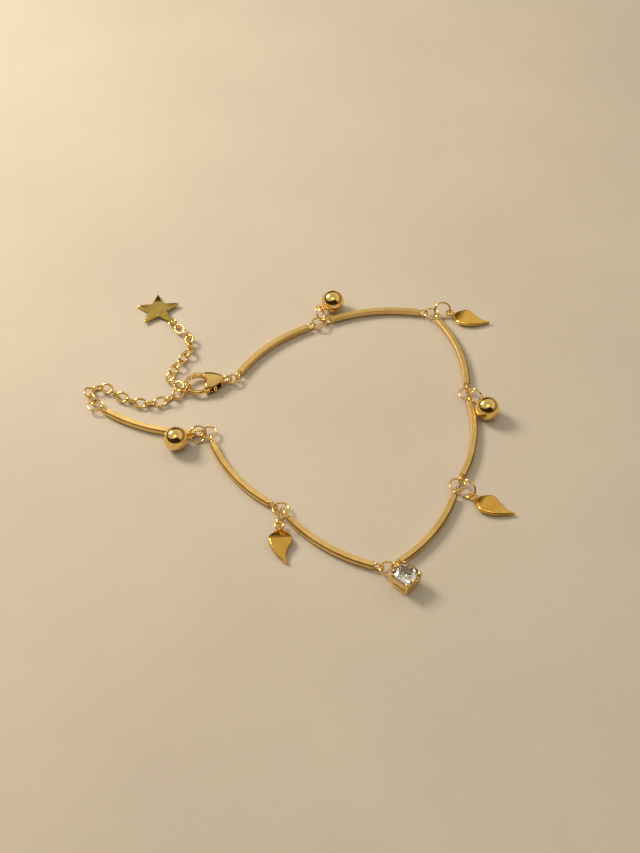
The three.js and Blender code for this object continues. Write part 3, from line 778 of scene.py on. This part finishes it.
def clasp_body():
    """A rounded drop with the lever's slot through it, a hook at its broad end and an upright tail eye."""
    sections = []
    for low, high in zip(bend(*CLASP_LOWER, CLASP_STEPS), bend(*CLASP_UPPER, CLASP_STEPS)):
        wide = np.linalg.norm(high - low)
        edge = (high - low) / wide
        from_end = min(low[0] - CLASP_LOWER[0][0], CLASP_LOWER[-1][0] - low[0])
        rounded = max(0.0, 1 - from_end / CLASP_END_ROUND)
        shrink = CLASP_END_ROUND * (1 - math.sqrt(1 - rounded**2))
        section = box_section(wide - 2 * shrink, CLASP_THICK - 2 * shrink, CLASP_ROUND)
        flat = (low + high) / 2 + np.outer(section[:, 0], edge)
        sections.append(np.column_stack([flat, section[:, 1]]))
    hollow = stacked(round_section(CLASP_HOLLOW, sides=64), [(1, -CLASP_THICK), (1, CLASP_THICK)])
    hollow = moved(hollow, Matrix.Translation((HOOK_X, 0, 0)))
    body = carved(skin(sections), [hollow, block(SLOT_GATE, SLOT_WIDTH), block(SLOT_TAB, SLOT_WIDTH)])
    tail = moved(closed_ring(TAIL_RADIUS, TAIL_WIRE), turned("X", math.pi / 2))
    return [body, hook(), tail]


def gate():
    """The lever's arm: an arc whose outer edge stops short of its inner one."""
    section = box_section(GATE_WIDE, LEVER_THICK, GATE_ROUND)
    share = section[:, 0] / GATE_WIDE + 0.5
    radius = HOOK_RADIUS + section[:, 0]
    end = GATE_TO["inner"] + (GATE_TO["outer"] - GATE_TO["inner"]) * share
    sections = []
    for step in np.linspace(0, 1, num=32):
        turn = GATE_FROM + (end - GATE_FROM) * step
        x = HOOK_X + radius * np.cos(turn)
        y = radius * np.sin(turn)
        sections.append(np.column_stack([x, y, section[:, 1]]))
    return skin(sections)


def clasp_lever():
    """The lever: its arm, the boss round the pin and the thumb piece."""
    half = LEVER_THICK / 2
    straight = half - BOSS_BEVEL
    levels = [(BOSS_FACE, -half), (1, -straight), (1, straight), (BOSS_FACE, half)]
    boss = stacked(round_section(BOSS_RADIUS, sides=32), levels)
    reach = np.linspace(0, TAB_LENGTH, num=24)
    sizes = np.sqrt(np.minimum((TAB_LENGTH - reach) / TAB_TAPER + TAB_BLUNT, 1))
    path = np.column_stack([0 * reach, reach, 0 * reach])
    tab = sweep(path, box_section(TAB_WIDE, LEVER_THICK, TAB_ROUND), sizes=sizes)
    pivot = Matrix.Translation((*PIVOT, 0))
    return [gate(), moved(boss, pivot), moved(tab, pivot, turned("Z", TAB_LEAN))]


def clasp_pin():
    """The lever's pin, with the same head on both faces of the body."""
    half = CLASP_THICK / 2
    bottom = [(scale, -half - rise) for scale, rise in PIN_HEAD]
    top = [(scale, half + rise) for scale, rise in reversed(PIN_HEAD)]
    pin = stacked(round_section(PIN_RADIUS, sides=24), bottom + top)
    return [moved(pin, Matrix.Translation((*PIVOT, 0)))]


def chain():
    """All links of the extender, already in their places."""
    shells = []
    for place, pull in links:
        shells.append(moved(oval_ring(CHAIN_RADIUS, CHAIN_WIRE, pull), place))
    return shells


def mixed_colour(tree, factor, first, second):
    """A mix of two colours, or of a colour socket and a colour, by a factor socket."""
    mix = tree.nodes.new("ShaderNodeMix")
    mix.data_type = "RGBA"
    tree.links.new(factor, mix.inputs["Factor"])
    for socket, value in ((mix.inputs["A"], first), (mix.inputs["B"], second)):
        if isinstance(value, bpy.types.NodeSocket):
            tree.links.new(value, socket)
        else:
            socket.default_value = (*value, 1)
    return mix.outputs["Result"]


def noise(tree, place, feature, detail=3.0):
    """A noise whose features measure about this many millimetres."""
    node = tree.nodes.new("ShaderNodeTexNoise")
    node.inputs["Scale"].default_value = 1 / (feature * MM)
    node.inputs["Detail"].default_value = detail
    tree.links.new(place, node.inputs["Vector"])
    return node.outputs["Fac"]


def ranged(tree, value, low, high, start=0.3, end=0.7):
    """A value stretched from between start and end to between low and high."""
    node = tree.nodes.new("ShaderNodeMapRange")
    node.inputs["From Min"].default_value = start
    node.inputs["From Max"].default_value = end
    node.inputs["To Min"].default_value = low
    node.inputs["To Max"].default_value = high
    tree.links.new(value, node.inputs["Value"])
    return node.outputs["Result"]


def bumped(tree, height, depth, normal=None):
    """A bump of this many millimetres, on top of another one."""
    node = tree.nodes.new("ShaderNodeBump")
    node.inputs["Distance"].default_value = depth * MM
    tree.links.new(height, node.inputs["Height"])
    if normal is not None:
        tree.links.new(normal, node.inputs["Normal"])
    return node.outputs["Normal"]


def cross_lines(tree, coords):
    """Fine lines across a bar, from how far along it a point lies."""
    wave = tree.nodes.new("ShaderNodeTexWave")
    wave.bands_direction = "X"
    wave.inputs["Scale"].default_value = WAVE_BAND / LINE_PITCH
    wave.inputs["Distortion"].default_value = 0.6
    wave.inputs["Detail Scale"].default_value = 2.0
    tree.links.new(coords.outputs["UV"], wave.inputs["Vector"])
    return wave.outputs["Fac"]


def gold(name, pale, deep, rough, grain, depth, lined=False):
    """A gold plate: two tones in soft patches, uneven polish and a fine grain."""
    material = bpy.data.materials.new(name)
    material.use_nodes = True
    tree = material.node_tree
    shader = tree.nodes["Principled BSDF"]
    shader.inputs["Metallic"].default_value = 1.0
    coords = tree.nodes.new("ShaderNodeTexCoord")
    place = coords.outputs["Object"]
    patches = ranged(tree, noise(tree, place, GOLD_PATCH), 0, 1)
    tree.links.new(mixed_colour(tree, patches, deep, pale), shader.inputs["Base Color"])
    polish = noise(tree, place, POLISH_PATCH)
    tree.links.new(ranged(tree, polish, *rough), shader.inputs["Roughness"])
    normal = bumped(tree, noise(tree, place, grain), depth)
    if lined:
        normal = bumped(tree, cross_lines(tree, coords), LINE_DEPTH, normal)
    tree.links.new(normal, shader.inputs["Normal"])
    return material


def clear_stone():
    """A clear cut stone with the faintest cloud in it."""
    material = bpy.data.materials.new("clear_stone")
    material.use_nodes = True
    tree = material.node_tree
    shader = tree.nodes["Principled BSDF"]
    shader.inputs["Transmission Weight"].default_value = 1.0
    shader.inputs["IOR"].default_value = STONE_IOR
    coords = tree.nodes.new("ShaderNodeTexCoord")
    cloud = noise(tree, coords.outputs["Object"], STONE_CLOUD)
    tree.links.new(ranged(tree, cloud, 0.0, 0.03), shader.inputs["Roughness"])
    tint = ranged(tree, cloud, 0, 1)
    tree.links.new(mixed_colour(tree, tint, (0.97, 0.97, 1.0), (1, 1, 1)), shader.inputs["Base Color"])
    return material


GOLDS = {
    "satin_gold": {"pale": (0.86, 0.64, 0.27), "deep": (0.75, 0.53, 0.18),
                   "rough": (0.36, 0.50), "grain": 0.12, "depth": 0.006, "lined": True},
    # painted shade: a dark brown gold laid into the bars' milled groove, where shade falls
    "groove_painted_shade": {"pale": (0.34, 0.19, 0.05), "deep": (0.20, 0.10, 0.02),
                    "rough": (0.40, 0.60), "grain": 0.12, "depth": 0.006},
    "polished_gold": {"pale": (0.95, 0.70, 0.28), "deep": (0.88, 0.60, 0.19),
                      "rough": (0.05, 0.14), "grain": 0.5, "depth": 0.002},
    "charm_gold": {"pale": (0.92, 0.60, 0.14), "deep": (0.82, 0.48, 0.08),
                   "rough": (0.12, 0.22), "grain": 0.3, "depth": 0.003},
    # painted shade: a darker copy of the charm gold, for the star, which lies in shade
    "star_painted_shade_gold": {"pale": (0.66, 0.50, 0.14), "deep": (0.54, 0.39, 0.10),
                  "rough": (0.12, 0.20), "grain": 0.3, "depth": 0.003},
}
LOOKS = {name: gold(name, **look) for name, look in GOLDS.items()}
LOOKS["clear_stone"] = clear_stone()


def add_piece(node, shells, slot, body="bracelet", place=None, sharp=38, look=None):
    """Makes one piece of these shells where its node lies, and lets it stand for the node.

    Edges of at least this many degrees stay sharp, and without an angle all faces stay flat.
    """
    place = places[node] if place is None else place
    points = []
    faces = []
    for shell_points, shell_faces in shells:
        start = len(points)
        points += [(place @ Vector(p)) * MM for p in shell_points]
        faces += [tuple(start + i for i in face) for face in shell_faces]
    mesh = bpy.data.meshes.new(f"{node}_finish")
    mesh.from_pydata(points, [], faces)
    made = bmesh.new()
    made.from_mesh(mesh)
    bmesh.ops.recalc_face_normals(made, faces=made.faces)
    made.to_mesh(mesh)
    made.free()
    if sharp:
        mesh.shade_smooth()
        mesh.set_sharp_from_angle(angle=math.radians(sharp))
    mesh.materials.append(LOOKS[look or slot])
    piece = bpy.data.objects.new(mesh.name, mesh)
    bpy.context.scene.collection.objects.link(piece)
    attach(piece, body)
    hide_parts(node)
    return piece


def finish_bar(mesh, lengths):
    """Gives a bar's mesh its lengths for the cross lines, paints shade into its groove and polishes its
    eyes.
    """
    layer = mesh.uv_layers.new(name="along")
    for loop in mesh.loops:
        if loop.vertex_index < len(lengths):
            layer.data[loop.index].uv = (lengths[loop.vertex_index], 0.0)
    # painted shade for the faces of the milled groove
    groove = len(mesh.materials)
    mesh.materials.append(LOOKS["groove_painted_shade"])
    polished = len(mesh.materials)
    mesh.materials.append(LOOKS["polished_gold"])
    around = len(bar_section(0.0))
    walls = (len(lengths) // around - 1) * around
    for face in mesh.polygons:
        if face.vertices[0] >= len(lengths):
            face.material_index = polished
        elif face.index < walls and face.index % around in GROOVE_SIDES:
            face.material_index = groove


for node in places:
    kind = node.split("_")[0]
    if kind == "bar":
        shells, lengths = bar()
        finish_bar(add_piece(node, shells, "satin_gold").data, lengths)
    elif "_ring" in node:
        add_piece(node, [jump_ring(RING_RADII.get(kind, CHARM_RADIUS))], "polished_gold")
    elif kind == "ball":
        add_piece(node, ball(), "polished_gold")
    elif kind == "leaf":
        add_piece(node, leaf(), "charm_gold", sharp=12)
# the star wears the darker copy of the charm gold, as painted shade
add_piece("star_charm", star(), "charm_gold", sharp=25, look="star_painted_shade_gold")
add_piece("crystal_setting", setting(), "polished_gold")
add_piece("crystal_stone", stone(), "clear_stone", sharp=None)
add_piece("clasp_body", clasp_body(), "polished_gold")
add_piece("clasp_pin", clasp_pin(), "polished_gold")
add_piece("clasp_lever", clasp_lever(), "polished_gold", body="lever")
add_piece("extender_chain", chain(), "polished_gold", place=Matrix.Identity(4))


def floor_material():
    """A pale floor: soft patches of cream and a fine nap."""
    material = bpy.data.materials.new("pale_floor")
    material.use_nodes = True
    tree = material.node_tree
    shader = tree.nodes["Principled BSDF"]
    shader.inputs["Roughness"].default_value = 0.9
    shader.inputs["Specular IOR Level"].default_value = 0.1
    coords = tree.nodes.new("ShaderNodeTexCoord")
    place = coords.outputs["Object"]
    patches = ranged(tree, noise(tree, place, FLOOR_PATCH), 0, 1)
    cream = mixed_colour(tree, patches, *FLOOR_CREAMS)
    tree.links.new(cream, shader.inputs["Base Color"])
    nap = bumped(tree, noise(tree, place, FLOOR_NAP), FLOOR_NAP_DEPTH)
    tree.links.new(nap, shader.inputs["Normal"])
    return material


def add_floor():
    """A floor that is flat round the bracelet and rises gently far out, so that low views show no edge."""
    turns = np.linspace(0, 2 * math.pi, FLOOR_SPOKES, endpoint=False)
    corners = []
    for radius in np.linspace(FLOOR_FLAT / 2, FLOOR_REACH, FLOOR_RINGS):
        share = max(0.0, (radius - FLOOR_FLAT) / (FLOOR_REACH - FLOOR_FLAT))
        height = FLOOR_RISE * share**2 - FLOOR_GAP * MM
        corners += [(radius * math.cos(turn), radius * math.sin(turn), height) for turn in turns]
    faces = [tuple(range(FLOOR_SPOKES))]
    for inner in range(0, len(corners) - FLOOR_SPOKES, FLOOR_SPOKES):
        outer = inner + FLOOR_SPOKES
        for spoke in range(FLOOR_SPOKES):
            after = (spoke + 1) % FLOOR_SPOKES
            faces.append((inner + spoke, outer + spoke, outer + after, inner + after))
    mesh = bpy.data.meshes.new("floor")
    mesh.from_pydata(corners, [], faces)
    mesh.shade_smooth()
    mesh.materials.append(floor_material())
    floor = bpy.data.objects.new("floor", mesh)
    bpy.context.scene.collection.objects.link(floor)


def direction(azimuth, elevation):
    """A unit vector, from degrees: azimuth 0 is away from the viewer and 90 to the right."""
    turn = math.radians(azimuth)
    rise = math.radians(elevation)
    flat = math.cos(rise)
    return Vector((flat * math.sin(turn), flat * math.cos(turn), math.sin(rise)))


SKY = [                       # how steeply the direction rises, from -1 to 1, and its colour
    (-1.0, (0.40, 0.32, 0.22)),
    (0.0, (0.10, 0.07, 0.045)),
    (0.3, (0.22, 0.18, 0.12)),
    (0.6, (0.78, 0.67, 0.52)),
    (1.0, (0.50, 0.44, 0.35)),
]
CARDS = [                     # azimuth, elevation, half angle and soft edge in degrees, colour
    (165, 22, 32, 9, (0.03, 0.02, 0.012)),
    (205, 17, 24, 9, (0.03, 0.02, 0.012)),
    (238, 14, 16, 9, (0.05, 0.035, 0.02)),
    (-6, 9, 20, 10, (0.05, 0.03, 0.015)),
    (190, 72, 10, 6, (1.8, 1.65, 1.4)),
]


def add_world():
    """A soft room: cream above, browner round the horizon, with dark cards and a bright one."""
    world = bpy.data.worlds.new("room")
    world.use_nodes = True
    bpy.context.scene.world = world
    tree = world.node_tree
    coords = tree.nodes.new("ShaderNodeTexCoord")
    split = tree.nodes.new("ShaderNodeSeparateXYZ")
    tree.links.new(coords.outputs["Generated"], split.inputs["Vector"])
    ramp = tree.nodes.new("ShaderNodeValToRGB")
    tree.links.new(ranged(tree, split.outputs["Z"], 0, 1, -1, 1), ramp.inputs["Fac"])
    stops = ramp.color_ramp.elements
    while len(stops) < len(SKY):
        stops.new(0.5)
    for stop, (height, colour) in zip(stops, SKY):
        stop.position = (height + 1) / 2
        stop.color = (*colour, 1)
    colour = ramp.outputs["Color"]
    for azimuth, elevation, half, edge, card in CARDS:
        dot = tree.nodes.new("ShaderNodeVectorMath")
        dot.operation = "DOT_PRODUCT"
        dot.inputs[1].default_value = direction(azimuth, elevation)
        tree.links.new(coords.outputs["Generated"], dot.inputs[0])
        start = math.cos(math.radians(half + edge))
        end = math.cos(math.radians(half))
        share = ranged(tree, dot.outputs["Value"], 0, 1, start, end)
        colour = mixed_colour(tree, share, colour, card)
    tree.links.new(colour, tree.nodes["Background"].inputs["Color"])


def add_light(name, azimuth, elevation, distance, size, watts, colour):
    """A square light that shines at the origin, in metres and degrees."""
    light = bpy.data.lights.new(name, "AREA")
    light.size = size
    light.energy = watts
    light.color = colour
    lamp = bpy.data.objects.new(name, light)
    way = direction(azimuth, elevation)
    lamp.location = way * distance
    lamp.rotation_euler = way.to_track_quat("Z", "Y").to_euler()
    bpy.context.scene.collection.objects.link(lamp)


def add_camera():
    """The photograph's view of the bracelet."""
    aim = home @ Vector((0, 0, CAMERA_AIM_Z))
    back = Vector((0, -math.cos(CAMERA_ELEVATION), math.sin(CAMERA_ELEVATION)))
    lens = bpy.data.cameras.new("camera")
    lens.sensor_width = SENSOR_MM
    lens.lens = FOCAL_PIXELS * SENSOR_MM / LONG_SIDE_PIXELS
    lens.clip_start = CAMERA_NEAR * MM
    camera = bpy.data.objects.new("camera", lens)
    camera.location = (aim + back * CAMERA_FAR) * MM
    camera.rotation_euler = back.to_track_quat("Z", "Y").to_euler()
    bpy.context.scene.collection.objects.link(camera)
    bpy.context.scene.camera = camera


add_floor()
add_world()
add_light("key", azimuth=-56, elevation=40, distance=0.32, size=0.11, watts=0.78, colour=(1.0, 0.85, 0.66))
add_camera()
bpy.context.scene.view_settings.view_transform = "Standard"
